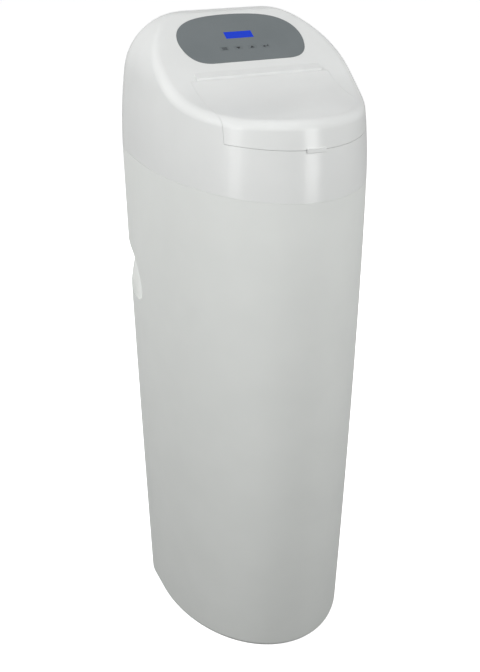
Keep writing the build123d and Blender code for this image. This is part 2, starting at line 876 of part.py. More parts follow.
def drive_pinion():
    plane = Plane(origin=(pinion_x, gear_back_y, pinion_z), x_dir=(1, 0, 0), z_dir=(0, -1, 0))
    phase = radians(pinion_bearing) + pi + pi / pinion_teeth
    pinion = extrude(plane * gear_face(pinion_teeth, phase), gear_thickness)
    return pinion - along_y(pinion_shaft_radius, pinion_x, pinion_z, gear_front_y - 1, gear_back_y + 1)


def motor_shaft():
    return along_y(pinion_shaft_radius, pinion_x, pinion_z, bracket_front_y - 6, gear_back_y)


def drive_bracket():
    x_low, x_high = -gear_radius - 8, pinion_x + motor_radius + 3
    z_low, z_high = bore_z - gear_radius - 12, bore_z + gear_radius + 14
    middle = ((x_low + x_high) / 2, bracket_back_y, (z_low + z_high) / 2)
    plane = Plane(origin=middle, x_dir=(1, 0, 0), z_dir=(0, -1, 0))
    shape = RectangleRounded(x_high - x_low, z_high - z_low, 10)
    plate = extrude(plane * shape, bracket_thickness)
    for angle in bracket_angles():
        x, z = bracket_point(angle)
        plate += along_y(4.2, x, z, bracket_back_y - 1, cap_front_y)
        plate -= along_y(screw_radius + 0.1, x, z, bracket_front_y - 1, cap_front_y + 1)
    for side in (-1, 1):
        z = pinion_z + side * (motor_radius + 4.5)
        plate -= along_y(screw_radius, pinion_x, z, bracket_front_y - 1, bracket_back_y + 1)
    plate -= along_y(8, 0, bore_z, bracket_front_y - 1, bracket_back_y + 1)
    return plate - along_y(7, pinion_x, pinion_z, bracket_front_y - 1, bracket_back_y + 1)


def drive_motor():
    box_front = bracket_front_y - gearbox_length
    motor = along_y(motor_radius, pinion_x, pinion_z, box_front, bracket_front_y)
    motor += along_y(motor_can_radius, pinion_x, pinion_z, box_front - motor_can_length, box_front + 1)
    motor += along_y(6.8, pinion_x, pinion_z, bracket_front_y - 1, bracket_back_y - 0.5)
    motor = motor.fillet(1.5, motor.edges().group_by(Axis.Y)[0])
    for side in (-1, 1):
        z = pinion_z + side * (motor_radius + 4.5)
        ear = along_y(4.5, pinion_x, z, bracket_front_y - 2, bracket_front_y)
        ear += block(
            pinion_x - 4.5, pinion_x + 4.5, bracket_front_y - 2, bracket_front_y,
            *sorted((pinion_z + side * motor_radius * 0.8, z)),
        )
        motor += ear
        motor -= along_y(screw_radius + 0.1, pinion_x, z, bracket_front_y - 3, bracket_front_y + 1)
    motor += block(
        pinion_x - 6, pinion_x + 6, box_front - motor_can_length + 3, box_front - 5,
        pinion_z + motor_can_radius - 2, pinion_z + motor_can_radius + 5,
    )
    return motor - along_y(
        pinion_shaft_radius + 0.08, pinion_x, pinion_z, bracket_front_y - 6.5, bracket_back_y
    )


def drive_screw(x, z, y_head, length):
    """One screw with a slotted head, driven from the front."""
    screw = along_y(3.0, x, z, y_head - 2.2, y_head)
    screw += along_y(screw_radius - 0.05, x, z, y_head - 0.5, y_head + length)
    return screw - block(x - 4, x + 4, y_head - 3, y_head - 1.4, z - 0.5, z + 0.5)


def drive_screws():
    long_length = bore_front_y - bracket_front_y + 5
    screws = [
        drive_screw(*bracket_point(angle), bracket_front_y, long_length) for angle in bracket_angles()
    ]
    for side in (-1, 1):
        z = pinion_z + side * (motor_radius + 4.5)
        screws.append(drive_screw(pinion_x, z, bracket_front_y - 2, 5))
    return Compound(screws)


def injector():
    low = bore_z + piston_bore + 0.3
    high = bore_z + barrel_radius + 6.8
    nozzle = upright(8.9, 0, tank_y + 22, low, high)
    nozzle -= upright(2.2, 0, tank_y + 22, low - 1, high + 1)
    groove = upright(10, 0, tank_y + 22, low + 5, low + 8) - upright(7, 0, tank_y + 22, low, high)
    return nozzle - groove


def injector_cap():
    low = bore_z + barrel_radius + 7
    cap = upright(15.5, 0, tank_y + 22, low, low + 8)
    cap = cap.fillet(1.5, cap.edges().group_by(Axis.Z)[-1])
    hexagon = Plane(origin=(0, tank_y + 22, low + 7)) * RegularPolygon(9, 6)
    return cap + extrude(hexagon, 5)


def drain_elbow():
    y, x = tank_y + drain_boss_y, boss_reach + 14
    elbow = along_x(9, y, bore_z, boss_reach, x)
    elbow += Pos(x, y, bore_z) * Sphere(9.6)
    elbow += along_y(9, x, bore_z, y, y + 16)
    elbow += along_y(spigot_radius, x, bore_z, y + 15, y + 16 + spigot_length)
    elbow += along_x(13, y, bore_z, boss_reach, boss_reach + 6)
    elbow -= along_y(4, x, bore_z, y, y + 17 + spigot_length)
    return elbow - along_x(4, y, bore_z, boss_reach - 1, x)


def brine_fitting():
    y = tank_y + brine_boss_y
    fitting = along_x(10, y, bore_z, -boss_reach - 6, -boss_reach)
    fitting += along_x(8.5, y, bore_z, -boss_reach - 16, -boss_reach - 5)
    fitting = fitting.chamfer(1.0, None, fitting.edges().group_by(Axis.X)[0])
    fitting -= along_x(brine_tube_radius + 0.05, y, bore_z, -boss_reach - 17, -boss_reach - 4)
    return fitting - along_x(brine_tube_bore, y, bore_z, -boss_reach - 5, -boss_reach + 1)


# Meter

def meter_insert():
    low = tank_y + meter_y - meter_length / 2
    high = low + meter_length
    x = port_spread
    ring = along_y(port_bore - 0.1, x, port_z, low, high) - along_y(turbine_radius + 0.4, x, port_z, low - 1, high + 1)
    for start in (low, high - 2.5):
        for i in range(3):
            angle = radians(90 + 120 * i)
            plane = Plane(origin=(x, start, port_z), x_dir=(cos(angle), 0, sin(angle)), z_dir=(0, 1, 0))
            ring += extrude(plane * Pos(6.2, 0) * Rectangle(12, 1.6), 2.5)
        ring += along_y(3, x, port_z, start, start + 2.5)
    return ring - along_y(1.0 + running_gap, x, port_z, low - 1, high + 1)


def meter_turbine():
    low = tank_y + meter_y - turbine_length / 2
    x = port_spread
    wheel = along_y(3.6, x, port_z, low, low + turbine_length)
    wheel += along_y(1.0, x, port_z, tank_y + meter_y - meter_length / 2, tank_y + meter_y + meter_length / 2)
    for i in range(6):
        blade = Pos(turbine_radius / 2 + 1.6, 0, 0) * Rot(32, 0, 0) * Box(turbine_radius - 3.2, 12, 1.2)
        wheel += Pos(x, low + turbine_length / 2, port_z) * Rot(0, 60 * i, 0) * blade
    return wheel & along_y(turbine_radius, x, port_z, low - 8, low + turbine_length + 8)


# Bypass and pipe connections

def bypass_body():
    low, high = port_end_y, bypass_end_y
    body = along_x(13, bypass_y, port_z, -port_spread, port_spread)
    for side in (-1, 1):
        x = side * port_spread
        body += along_y(port_radius, x, port_z, low, high)
        body += upright(chamber_radius, x, bypass_y, port_z - 20, port_z + 21)
    body -= along_x(9, bypass_y, port_z, -port_spread, port_spread)
    for side in (-1, 1):
        x = side * port_spread
        body -= along_y(port_bore, x, port_z, low - 1, high + 1)
        body -= upright(rotor_radius + 0.1, x, bypass_y, port_z - 16, port_z + 22)
    return body


def bypass_rotor(side):
    x = side * port_spread
    rotor = upright(rotor_radius, x, bypass_y, port_z - 15.6, port_z + 21.3)
    rotor += upright(chamber_radius - 0.6, x, bypass_y, port_z + 21.3, port_z + 24)
    rotor += upright(6, x, bypass_y, port_z + 23, port_z + 38)
    return rotor - along_y(10.5, x, port_z, bypass_y - 20, bypass_y + 20)


def bypass_knob(side):
    """An arrow-shaped handle that points along the flow."""
    x = side * port_spread
    low = port_z + 24.2
    arrow = Polyline(
        (-7, -19), (7, -19), (7, 8), (12, 8), (0, 22), (-12, 8), (-7, 8), close=True
    )
    plane = Plane(origin=(x, bypass_y, low + 5))
    knob = upright(15, x, bypass_y, low, low + 6)
    knob += extrude(plane * make_face(arrow), knob_height - 5)
    knob = knob.fillet(1.5, knob.edges().group_by(Axis.Z)[-1])
    return knob - upright(6, x, bypass_y, low - 1, port_z + 38)


def union_nuts():
    nuts = []
    for side in (-1, 1):
        x = side * port_spread
        low = port_end_y + 7 - nut_length
        nut = hexagon_y(nut_radius, port_radius + 0.15, x, port_z, low, low + nut_length)
        seat = along_y(port_radius + 2.4, x, port_z, port_end_y - 5.2, port_end_y + 0.2)
        nuts.append(nut - seat)
    return Compound(nuts)


def adapter(side):
    """A threaded pipe end that leaves through the back opening."""
    x = side * port_spread
    low = bypass_end_y
    body = along_y(port_radius, x, port_z, low, low + 12)
    body += along_y(thread_radius - 1.2, x, port_z, low + 10, adapter_end_y - 1)
    body += along_y(thread_radius, x, port_z, adapter_end_y - thread_length, adapter_end_y)
    body += hexagon_y(21, port_bore, x, port_z, low + 16, adapter_end_y - thread_length - 4)
    body = body - along_y(port_bore, x, port_z, low - 1, adapter_end_y + 1)
    return body


def adapter_nuts():
    nuts = []
    for side in (-1, 1):
        x = side * port_spread
        low = bypass_end_y - 5
        nuts.append(hexagon_y(nut_radius, port_radius + 0.15, x, port_z, low, low + nut_length))
    return Compound(nuts)


# Brine well

def brine_well():
    low = floor_thickness
    well = upright(well_radius, well_x, well_y, low, well_height)
    well -= upright(well_radius - well_wall, well_x, well_y, low + 3, well_height + 1)
    for i in range(3):
        turn = Pos(well_x, well_y, low + 40) * Rot(0, 0, 60 * i)
        well -= turn * Box(2 * well_radius + 4, 4, 44)
    return well - along_y(brine_tube_radius + 1.5, well_x + pickup_x, safety_top, well_y, well_y + 60)


def well_cap():
    low = well_height
    cap = upright(well_radius + 2.2, well_x, well_y, low - 12, low + 2.5)
    cap = cap.fillet(1.2, cap.edges().group_by(Axis.Z)[-1])
    cap -= upright(well_radius + 0.3, well_x, well_y, low - 13, low)
    grip = Pos(well_x, well_y, low + 6) * Box(34, 5, 9)
    return cap + grip.fillet(1.5, grip.edges().group_by(Axis.Z)[-1])


def safety_valve():
    x, y = well_x + pickup_x, well_y
    body = upright(13, x, y, safety_top - safety_length, safety_top - 8)
    body += upright(9, x, y, safety_top - 10, safety_top + 9)
    body += along_y(8.5, x, safety_top, y, y + 20)
    low = safety_top - safety_length
    body += block(x, well_x + float_x + 5, y - 5, y + 5, low, low + 6)
    for z in (low + 22, low + 34):
        ring = upright(well_radius - well_wall - 0.4, well_x, well_y, z, z + 2.5)
        ring -= upright(well_radius - well_wall - 4, well_x, well_y, z - 1, z + 4)
        spoke = block(well_x - well_radius + 4, x, y - 3, y + 3, z, z + 2.5)
        body += ring + spoke
    body -= upright(float_rod_radius + 0.1, well_x + float_x, y, low - 1, low + 7)
    body -= upright(brine_tube_bore, x, y, low - 1, safety_top)
    body -= upright(5.05, x, y, low - 1, low + 10)
    return body - along_y(brine_tube_radius + 0.05, x, safety_top, y + 6, y + 21) \
        - along_y(brine_tube_bore, x, safety_top, y, y + 21)


def brine_pickup():
    low = floor_thickness + 50
    high = safety_top - safety_length + 10
    x, y = well_x + pickup_x, well_y
    return upright(5, x, y, low, high) - upright(3.2, x, y, low - 1, high + 1)


def air_check():
    """The caged foot valve at the bottom of the pickup."""
    x, y, low = well_x + pickup_x, well_y, floor_thickness + 3.2
    cage = upright(12, x, y, low, low + 58)
    cage -= upright(5.05, x, y, low + 46, low + 59)
    cage -= upright(8.5, x, y, low + 6, low + 40)
    cage -= upright(3.2, x, y, low + 38, low + 47)
    for angle in (0, 90):
        cage -= Pos(x, y, low + 20) * Rot(0, 0, angle) * Box(30, 7, 22)
    return cage


def brine_float():
    x, y = well_x + float_x, well_y
    body = upright(float_radius, x, y, float_low, float_low + float_length)
    body = body.fillet(4, body.edges().filter_by(GeomType.CIRCLE))
    return body - upright(float_rod_radius, x, y, float_low - 1, float_low + float_length + 1)


def float_rod():
    x, y = well_x + float_x, well_y
    rod = upright(float_rod_radius, x, y, float_low - 12, safety_top - 30)
    for z in (float_low - 3.2, float_low + float_length + 0.2):
        rod += upright(4.5, x, y, z, z + 3)
    return rod


def brine_line():
    """The tube from the well to the valve: straight runs joined by round bends."""
    x = well_x + pickup_x
    y = tank_y + brine_boss_y
    end_x = -boss_reach - 5
    route = FilletPolyline(
        (x, well_y + 7, safety_top),
        (x, y, safety_top),
        (x, y, bore_z),
        (end_x, y, bore_z),
        radius=(end_x - x) / 2,
    )
    ring = Circle(brine_tube_radius) - Circle(brine_tube_bore)
    start = Plane(origin=(x, well_y + 7, safety_top), z_dir=(0, 1, 0))
    return sweep(start * ring, path=route)


# Overflow

def overflow_elbow():
    wall_y = cabinet_back_at(overflow_z) + 0.5
    x, z = overflow_x, overflow_z
    drop = 14 + spigot_length
    elbow = along_y(overflow_radius, x, z, wall_y - 18, wall_y + 12)
    elbow += along_y(14, x, z, wall_y, wall_y + 3.5)
    elbow += Pos(x, wall_y + 12, z) * Sphere(overflow_radius + 0.6)
    elbow += upright(overflow_radius, x, wall_y + 12, z - 14, z)
    elbow += upright(spigot_radius, x, wall_y + 12, z - drop, z - 13)
    elbow -= along_y(4.5, x, z, wall_y - 19, wall_y + 12)
    return elbow - upright(4.5, x, wall_y + 12, z - drop - 1, z)


def overflow_nut():
    inner_y = cabinet_back_at(overflow_z) - cabinet_wall - 0.6
    return hexagon_y(16, overflow_radius + 0.1, overflow_x, overflow_z, inner_y - 7, inner_y)


# Write one file for each piece

NODES = {
    "cabinet_shell": cabinet_shell(),
    "top_cover": top_cover(),
    "salt_lid": salt_lid(),
    "hinge_pins": hinge_pins(),
    "control_panel": control_panel(),
    "display_window": display_window(),
    "display_module": display_module(),
    "control_board": control_board(),
    "board_screws": board_screws(),
    "menu_button": button(0),
    "down_button": button(1),
    "up_button": button(2),
    "set_button": button(3),
    "resin_tank": resin_tank(),
    "tank_boot": tank_boot(),
    "resin_bed": resin_bed(),
    "riser_tube": riser_tube(),
    "bottom_strainer": bottom_strainer(),
    "top_strainer": top_strainer(),
    "valve_body": valve_body(),
    "seal_stack": seal_stack(),
    "drive_cap": drive_cap(),
    "piston": piston(),
    "piston_rod": piston_rod(),
    "drive_gear": drive_gear(),
    "drive_pinion": drive_pinion(),
    "motor_shaft": motor_shaft(),
    "drive_bracket": drive_bracket(),
    "drive_motor": drive_motor(),
    "drive_screws": drive_screws(),
    "injector": injector(),
    "injector_cap": injector_cap(),
    "drain_elbow": drain_elbow(),
    "brine_fitting": brine_fitting(),
    "meter_insert": meter_insert(),
    "meter_turbine": meter_turbine(),
    "bypass_body": bypass_body(),
    "inlet_rotor": bypass_rotor(-1),
    "outlet_rotor": bypass_rotor(1),
    "inlet_knob": bypass_knob(-1),
    "outlet_knob": bypass_knob(1),
    "union_nuts": union_nuts(),
    "inlet_adapter": adapter(-1),
    "outlet_adapter": adapter(1),
    "adapter_nuts": adapter_nuts(),
    "brine_well": brine_well(),
    "well_cap": well_cap(),
    "safety_valve": safety_valve(),
    "brine_pickup": brine_pickup(),
    "air_check": air_check(),
    "brine_float": brine_float(),
    "float_rod": float_rod(),
    "brine_line": brine_line(),
    "overflow_elbow": overflow_elbow(),
    "overflow_nut": overflow_nut(),
}

os.makedirs("parts", exist_ok=True)
for name, shape in NODES.items():
    export_step(shape, f"parts/{name}.step")
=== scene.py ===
import json
import math

import bmesh
import bpy
from mathutils import Matrix, Vector

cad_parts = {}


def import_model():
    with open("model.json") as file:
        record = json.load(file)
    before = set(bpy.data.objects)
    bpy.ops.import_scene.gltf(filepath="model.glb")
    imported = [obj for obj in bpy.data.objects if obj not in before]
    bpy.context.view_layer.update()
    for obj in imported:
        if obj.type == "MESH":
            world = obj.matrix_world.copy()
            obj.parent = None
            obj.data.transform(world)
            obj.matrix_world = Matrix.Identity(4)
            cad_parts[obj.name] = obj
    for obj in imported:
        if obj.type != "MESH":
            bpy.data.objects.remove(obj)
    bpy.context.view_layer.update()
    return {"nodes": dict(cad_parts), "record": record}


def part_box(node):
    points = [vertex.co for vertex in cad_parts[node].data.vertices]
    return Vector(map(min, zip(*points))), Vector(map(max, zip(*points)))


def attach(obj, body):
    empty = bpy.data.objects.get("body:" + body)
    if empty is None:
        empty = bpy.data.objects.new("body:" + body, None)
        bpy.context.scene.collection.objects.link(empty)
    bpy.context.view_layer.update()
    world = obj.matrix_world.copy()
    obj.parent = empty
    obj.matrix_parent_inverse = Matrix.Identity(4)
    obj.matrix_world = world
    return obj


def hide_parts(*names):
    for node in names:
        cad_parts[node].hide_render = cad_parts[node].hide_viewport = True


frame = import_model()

MM = 0.001
NODES = frame["nodes"]
SLOTS = {row["node"]: row["material_slot"] for row in frame["record"]["subparts"]}


# Shader nodes

def new_material(name):
    """A node material, its tree and its Principled shader."""
    mat = bpy.data.materials.new(name)
    mat.use_nodes = True
    tree = mat.node_tree
    return mat, tree, tree.nodes["Principled BSDF"]


def add(tree, kind, **sockets):
    """A new node; an underscore in a socket's name stands for a space."""
    node = tree.nodes.new(kind)
    for name, value in sockets.items():
        node.inputs[name.replace("_", " ")].default_value = value
    return node


def tune(shader, **sockets):
    """Sets sockets of a shader, named as in add."""
    for name, value in sockets.items():
        shader.inputs[name.replace("_", " ")].default_value = value


def object_space(tree, **mapping):
    """Coordinates in object space, turned or scaled by a mapping if one is given."""
    coords = tree.nodes.new("ShaderNodeTexCoord").outputs["Object"]
    if not mapping:
        return coords
    node = add(tree, "ShaderNodeMapping", **mapping)
    tree.links.new(coords, node.inputs["Vector"])
    return node.outputs["Vector"]


def noise(tree, scale, detail=3.0, stretch=(1, 1, 1)):
    """Noise in object space, scaled in repeats per metre."""
    texture = add(tree, "ShaderNodeTexNoise", Scale=scale, Detail=detail)
    tree.links.new(object_space(tree, Scale=stretch), texture.inputs["Vector"])
    return texture.outputs["Fac"]


def ramp(tree, source, low, high, start=0.3, end=0.7):
    """Turns a grey value into one between two colours."""
    node = tree.nodes.new("ShaderNodeValToRGB")
    stops = node.color_ramp.elements
    stops[0].position, stops[1].position = start, end
    stops[0].color, stops[1].color = (*low, 1), (*high, 1)
    tree.links.new(source, node.inputs["Fac"])
    return node.outputs["Color"]


def grey_range(tree, source, low, high):
    """Turns a value of 0 to 1 into one between low and high."""
    node = add(tree, "ShaderNodeMapRange", To_Min=low, To_Max=high)
    tree.links.new(source, node.inputs["Value"])
    return node.outputs["Result"]


def bump(tree, shader, source, distance, strength, under=None):
    """Bump of a height in metres, laid over the one under it if there is one."""
    node = add(tree, "ShaderNodeBump", Strength=strength, Distance=distance)
    tree.links.new(source, node.inputs["Height"])
    if under is not None:
        tree.links.new(under, node.inputs["Normal"])
    tree.links.new(node.outputs["Normal"], shader.inputs["Normal"])
    return node.outputs["Normal"]


# Materials: scales are in repeats per metre, heights of bumps in metres

CLOUD_SCALE = 14
GLOSS_SCALE = 60
FLOW_SCALE = 22
FLOW_HEIGHT = 0.4 * MM
COAT_ROUGHNESS = 0.12
METAL_SCALE = 90
LINE_SCALE = 900
LINE_STRETCH = (1, 30, 1)
LINE_HEIGHT = 0.03 * MM
TINT_SCALE = 40
WINDING_LEAN = 0.9
WINDING_SCALE = 55
WINDING_HEIGHT = 0.4 * MM
BEAD_SCALE = 900
BEAD_HEIGHT = 0.5 * MM
TRACK_SCALE = 130
TRACK_HEIGHT = 0.04 * MM
DOT_SCALE = 1400


def plastic(name, low, high, rough, grain=2200, height=0.02 * MM, coat=0.0, shine=0.5):
    """Moulded plastic: faint cloudy colour, spark texture and uneven gloss."""
    mat, tree, shader = new_material(name)
    tune(shader, Specular_IOR_Level=shine, Coat_Weight=coat, Coat_Roughness=COAT_ROUGHNESS)
    clouds = ramp(tree, noise(tree, CLOUD_SCALE), low, high)
    tree.links.new(clouds, shader.inputs["Base Color"])
    gloss = grey_range(tree, noise(tree, GLOSS_SCALE), *rough)
    tree.links.new(gloss, shader.inputs["Roughness"])
    flow = bump(tree, shader, noise(tree, FLOW_SCALE, detail=2), FLOW_HEIGHT, strength=0.25)
    bump(tree, shader, noise(tree, grain, detail=2), height, strength=0.5, under=flow)
    return mat


def metal(name, low, high, rough):
    """Turned or drawn metal with fine lines along one direction."""
    mat, tree, shader = new_material(name)
    tune(shader, Metallic=1.0)
    tint = ramp(tree, noise(tree, METAL_SCALE), low, high)
    tree.links.new(tint, shader.inputs["Base Color"])
    lines = noise(tree, LINE_SCALE, detail=2, stretch=LINE_STRETCH)
    tree.links.new(grey_range(tree, lines, *rough), shader.inputs["Roughness"])
    bump(tree, shader, lines, LINE_HEIGHT, strength=0.4)
    return mat


def wound_tank(name):
    """Fibreglass tank: two crossing sets of resin-covered windings."""
    mat, tree, shader = new_material(name)
    tune(shader, Roughness=0.32)
    tint = ramp(tree, noise(tree, TINT_SCALE), (0.035, 0.07, 0.13), (0.06, 0.11, 0.19))
    tree.links.new(tint, shader.inputs["Base Color"])
    under = None
    for lean in (WINDING_LEAN, -WINDING_LEAN):
        wave = add(tree, "ShaderNodeTexWave", Scale=WINDING_SCALE, Distortion=1.2, Detail=1)
        tree.links.new(object_space(tree, Rotation=(0, lean, 0)), wave.inputs["Vector"])
        under = bump(tree, shader, wave.outputs["Fac"], WINDING_HEIGHT, strength=0.4, under=under)
    return mat


def bead_bed(name):
    """Packed resin beads, with painted light: each bead is painted lighter in its middle and
    darker at its edge, as painted shade between the beads.
    """
    mat, tree, shader = new_material(name)
    tune(shader, Roughness=0.3)
    cells = add(tree, "ShaderNodeTexVoronoi", Scale=BEAD_SCALE)
    tree.links.new(object_space(tree), cells.inputs["Vector"])
    away = cells.outputs["Distance"]
    # painted highlight and painted shade: the colour runs from light amber at each bead's middle
    # to dark amber at the gaps between beads
    tint = ramp(tree, away, (0.55, 0.28, 0.07), (0.20, 0.07, 0.015), start=0.1, end=0.6)
    tree.links.new(tint, shader.inputs["Base Color"])
    bump(tree, shader, away, -BEAD_HEIGHT, strength=0.8)
    return mat


def circuit(name):
    """Green circuit board with lighter lines of tracks."""
    mat, tree, shader = new_material(name)
    tune(shader, Roughness=0.35)
    tracks = add(
        tree,
        "ShaderNodeTexBrick",
        Scale=TRACK_SCALE,
        Mortar_Size=0.08,
        Color1=(0.02, 0.16, 0.06, 1),
        Color2=(0.015, 0.12, 0.045, 1),
        Mortar=(0.05, 0.30, 0.12, 1),
    )
    tree.links.new(object_space(tree), tracks.inputs["Vector"])
    tree.links.new(tracks.outputs["Color"], shader.inputs["Base Color"])
    bump(tree, shader, tracks.outputs["Fac"], TRACK_HEIGHT, strength=0.5)
    return mat


def display(name):
    """A backlit blue display with its dot grid just visible."""
    mat, tree, shader = new_material(name)
    tune(shader, Emission_Strength=0.5, Specular_IOR_Level=0.2, Roughness=0.18)
    grid = add(
        tree,
        "ShaderNodeTexChecker",
        Scale=DOT_SCALE,
        Color1=(0.003, 0.024, 0.34, 1),
        Color2=(0.005, 0.032, 0.42, 1),
    )
    tree.links.new(object_space(tree), grid.inputs["Vector"])
    for socket in ("Base Color", "Emission Color"):
        tree.links.new(grid.outputs["Color"], shader.inputs[socket])
    return mat


# name, darkest and lightest colour, range of roughness, and what differs from the usual
PLASTICS = (
    ("cabinet_white", (0.715, 0.73, 0.71), (0.735, 0.75, 0.73), (0.50, 0.60),
     {"grain": 1500, "height": 0.05 * MM, "shine": 0.3}),
    ("cover_white", (0.715, 0.725, 0.715), (0.735, 0.745, 0.735), (0.26, 0.34),
     {"grain": 2600, "height": 0.01 * MM, "coat": 0.2}),
    ("panel_grey", (0.145, 0.165, 0.171), (0.16, 0.18, 0.186), (0.30, 0.36), {"grain": 3600}),
    ("button_grey", (0.138, 0.157, 0.163), (0.153, 0.172, 0.178), (0.4, 0.5), {}),
    ("valve_black", (0.018, 0.018, 0.020), (0.03, 0.03, 0.033), (0.32, 0.46), {}),
    ("boot_black", (0.012, 0.012, 0.012), (0.02, 0.02, 0.02), (0.6, 0.75),
     {"grain": 900, "height": 0.1 * MM}),
    ("tube_white", (0.66, 0.66, 0.62), (0.70, 0.70, 0.66), (0.4, 0.5), {}),
    ("seal_black", (0.01, 0.01, 0.01), (0.016, 0.016, 0.016), (0.5, 0.62), {}),
    ("gear_white", (0.62, 0.61, 0.56), (0.68, 0.67, 0.62), (0.35, 0.45), {}),
    ("knob_blue", (0.02, 0.07, 0.30), (0.03, 0.09, 0.36), (0.3, 0.4), {}),
    ("ink", (0.012, 0.014, 0.016), (0.02, 0.022, 0.024), (0.35, 0.45), {}),
)
LOOKS = {name: plastic(name, *look, **rest) for name, *look, rest in PLASTICS}
LOOKS["steel"] = metal("steel", (0.48, 0.49, 0.51), (0.58, 0.59, 0.61), (0.25, 0.42))
LOOKS["brass"] = metal("brass", (0.62, 0.43, 0.16), (0.72, 0.53, 0.22), (0.22, 0.35))
LOOKS["display_blue"] = display("display_blue")
LOOKS["board_green"] = circuit("board_green")
LOOKS["tank_blue"] = wound_tank("tank_blue")
LOOKS["resin_amber"] = bead_bed("resin_amber")

for node_name, slot_name in SLOTS.items():
    node_materials = NODES[node_name].data.materials
    node_materials.clear()
    node_materials.append(LOOKS[slot_name])


def made(form, name, material):
    """The scene's object of that name, made from a bmesh that is then freed."""
    mesh = bpy.data.meshes.new(name)
    form.to_mesh(mesh)
    form.free()
    mesh.materials.append(material)
    obj = bpy.data.objects.new(name, mesh)
    bpy.context.scene.collection.objects.link(obj)
    return obj


# Signs on the keys: shapes in mm around the middle of each key. The panel's plane
# starts at the middle of its lower edge; the keys are in a row up the slope from there.

PANEL_SLOPE = math.radians(27.6)
PANEL_ORIGIN = Vector((0, -0.0652, 1.008284))
PANEL_UP = Vector((0, math.cos(PANEL_SLOPE), math.sin(PANEL_SLOPE)))
PANEL_OUT = Vector((0, -PANEL_UP.z, PANEL_UP.y))
KEY_UP = 0.033
KEY_PITCH = 0.023
SIGN_SINK = 0.02 * MM
SIGN_RISE = 0.08 * MM


def on_panel(x, up, out):
    """The point at x, so far up the slope and so far out of the panel."""
    return PANEL_ORIGIN + Vector((x, 0, 0)) + PANEL_UP * up + PANEL_OUT * out


def sign(name, shapes, x, body):
    """Thin printed shapes that lie on a key."""
    form = bmesh.new()
    for shape in shapes:
        low, high = (
            [form.verts.new(on_panel(x + a * MM, KEY_UP + b * MM, out)) for a, b in shape]
            for out in (-SIGN_SINK, SIGN_RISE)
        )
        form.faces.new(high)
        form.faces.new(low[::-1])
        for i in range(len(shape)):
            k = (i + 1) % len(shape)
            form.faces.new((low[i], low[k], high[k], high[i]))
    bmesh.ops.recalc_face_normals(form, faces=form.faces)
    obj = made(form, name, LOOKS["ink"])
    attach(obj, body)


def bar(x_low, x_high, y_low, y_high):
    """The corners of an upright rectangle."""
    return [(x_low, y_low), (x_high, y_low), (x_high, y_high), (x_low, y_high)]


SIGNS = (
    ("menu", [bar(-4.2, 4.2, 1.7, 2.8), bar(-4.2, 4.2, -0.55, 0.55), bar(-4.2, 4.2, -2.8, -1.7)]),
    ("down", [[(-3.8, 2.2), (0, -2.6), (3.8, 2.2)]]),
    ("up", [[(-3.8, -2.2), (3.8, -2.2), (0, 2.6)]]),
    ("set", [
        [(-5.0, -0.6), (-1.4, -3.1), (-1.4, 1.9)],
        bar(-1.4, 4.6, -1.2, 0.0),
        bar(3.4, 4.6, 0.0, 2.8),
    ]),
)
for index, (key, shapes) in enumerate(SIGNS):
    sign(key + "_sign", shapes, (index - 1.5) * KEY_PITCH, key + "_key")


# Threaded pipe ends: rings around an axis along y, each with a radius that may vary.
# The thread's numbers are in metres.

PORT_X = 0.038
RING_POINTS = 96
THREAD_LENGTH = 0.024
THREAD_PITCH = 0.0018
THREAD_RADIUS = 0.0166
THREAD_DEPTH = 0.0011
THREAD_STOP = 0.0008
THREAD_STEPS = 106
NECK_RADIUS = 0.0154
HEX_CORNER = 0.0209
HEX_CUT = 0.0006


def ring_of(form, x, y, z, radius):
    """Points around an axis along y through x and z."""
    ring = []
    for i in range(RING_POINTS):
        angle = 2 * math.pi * i / RING_POINTS
        r = radius(y, angle)
        ring.append(form.verts.new((x + r * math.cos(angle), y, z + r * math.sin(angle))))
    return ring


def turned(form, x, z, levels):
    """A closed tube from rings, the last joined to the first."""
    rings = [ring_of(form, x, y, z, radius) for y, radius in levels]
    for lower, upper in zip(rings, rings[1:] + rings[:1]):
        for i in range(RING_POINTS):
            k = (i + 1) % RING_POINTS
            form.faces.new((lower[i], lower[k], upper[k], upper[i]))


def plain(radius):
    """The same radius all around."""
    return lambda y, angle: radius


def hexagon(y, angle):
    """Radius of the wrench flats, with their corners turned off."""
    sixth = math.pi / 3
    turn = (angle - sixth / 2) % sixth - sixth / 2
    return min(HEX_CORNER * math.cos(sixth / 2) / math.cos(turn), HEX_CORNER - HEX_CUT)


def thread(start, end):
    """Radius of a screw thread that runs out at both ends."""
    def radius(y, angle):
        phase = ((y - start) / THREAD_PITCH - angle / (2 * math.pi)) % 1
        cut = 1 - abs(2 * phase - 1)
        fade = min(1, (y - start) / THREAD_PITCH, (end - y) / THREAD_PITCH)
        return THREAD_RADIUS - THREAD_DEPTH * cut * max(0, fade)
    return radius


# Hub and wrench flats run along y from the inner end, the mouth from the outer end
HUB = (
    (0, plain(0.0125)),
    (0, plain(0.0166)),
    (0.0004, plain(0.0170)),
    (0.0118, plain(0.0170)),
    (0.0118, plain(NECK_RADIUS)),
)
FLATS = (
    (0.0160, plain(0.0150)),
    (0.0160, plain(0.0180)),
    (0.0166, hexagon),
    (0.0236, hexagon),
    (0.0240, plain(0.0180)),
    (0.0240, plain(0.0150)),
)
MOUTH = ((0, plain(0.0158)), (0, plain(0.0129)), (-0.0004, plain(0.0125)))


def levels_from(y, profile):
    """The levels of a profile that starts at y."""
    return [(y + along, radius) for along, radius in profile]


